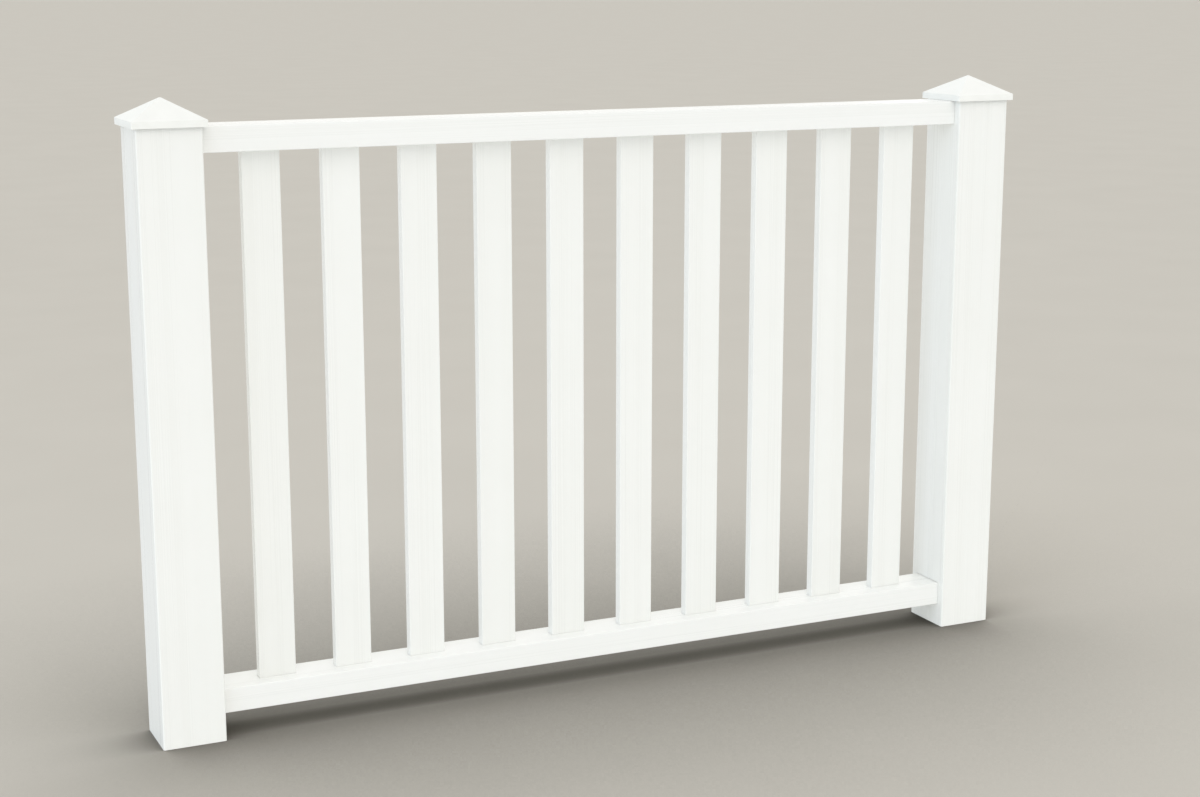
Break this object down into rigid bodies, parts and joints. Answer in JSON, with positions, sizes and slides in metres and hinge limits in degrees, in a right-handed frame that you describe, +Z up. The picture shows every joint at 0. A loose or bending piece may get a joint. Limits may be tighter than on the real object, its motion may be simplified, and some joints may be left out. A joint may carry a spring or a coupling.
{
  "type": "picket fence panel",
  "caption": "White vinyl picket fence panel: flat pickets between a top and a bottom rail, held by two square posts with pyramid caps.",
  "frame": {"origin": "centre of the left post's foot, at ground level", "axes": "+X along the fence from the left post to the right post, +Y from the front to the back, +Z up"},
  "size_m": [1.9742, 0.1454, 1.2719],
  "materials": {
    "vinyl_extrusion": "satin",
    "vinyl_moulding": "satin"
  },
  "bodies": {
    "root": {"left_post": "vinyl_extrusion", "right_post": "vinyl_extrusion", "left_post_cap": "vinyl_moulding", "right_post_cap": "vinyl_moulding", "bottom_rail": "vinyl_extrusion", "top_rail": "vinyl_extrusion", "picket_01": "vinyl_extrusion", "picket_02": "vinyl_extrusion", "picket_03": "vinyl_extrusion", "picket_04": "vinyl_extrusion", "picket_05": "vinyl_extrusion", "picket_06": "vinyl_extrusion", "picket_07": "vinyl_extrusion", "picket_08": "vinyl_extrusion", "picket_09": "vinyl_extrusion", "picket_10": "vinyl_extrusion"}
  },
  "joints": []
}
